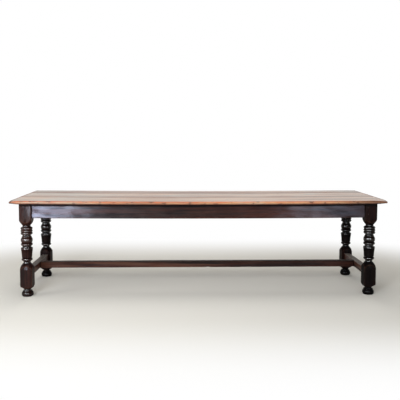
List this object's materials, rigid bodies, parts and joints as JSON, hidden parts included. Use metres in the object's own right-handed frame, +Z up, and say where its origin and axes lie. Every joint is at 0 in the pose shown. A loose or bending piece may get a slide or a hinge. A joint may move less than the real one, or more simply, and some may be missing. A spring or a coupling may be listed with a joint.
{
  "type": "farmhouse table",
  "caption": "Long farmhouse dining table with a planked top, deep aprons, turned legs with bun feet and a low H-shaped stretcher, joined with pegged mortise and tenon joints.",
  "frame": {"origin": "on the floor, under the middle of the table", "axes": "+X along the table's length, +Y across it to the back, +Z up"},
  "size_m": [2.93, 0.88, 0.765],
  "materials": {
    "top_wood": "waxed, satin",
    "frame_wood": "dark stain, semi-gloss",
    "bearer_wood": "bare, aged",
    "tongue_wood": "bare",
    "peg_wood": "dark stain, semi-gloss",
    "top_peg_wood": "waxed, satin"
  },
  "bodies": {
    "root": {"top_plank_front": "top_wood", "top_plank_middle": "top_wood", "top_plank_back": "top_wood", "top_tongue_front": "tongue_wood", "top_tongue_back": "tongue_wood", "leg_front_left": "frame_wood", "leg_front_right": "frame_wood", "leg_back_left": "frame_wood", "leg_back_right": "frame_wood", "apron_front": "frame_wood", "apron_back": "frame_wood", "apron_left": "frame_wood", "apron_right": "frame_wood", "end_stretcher_left": "frame_wood", "end_stretcher_right": "frame_wood", "long_stretcher": "frame_wood", "cross_bearer_left": "bearer_wood", "cross_bearer_centre": "bearer_wood", "cross_bearer_right": "bearer_wood", "apron_pegs": "peg_wood", "end_stretcher_pegs": "peg_wood", "long_stretcher_pegs": "peg_wood", "top_pegs": "top_peg_wood"}
  },
  "joints": []
}
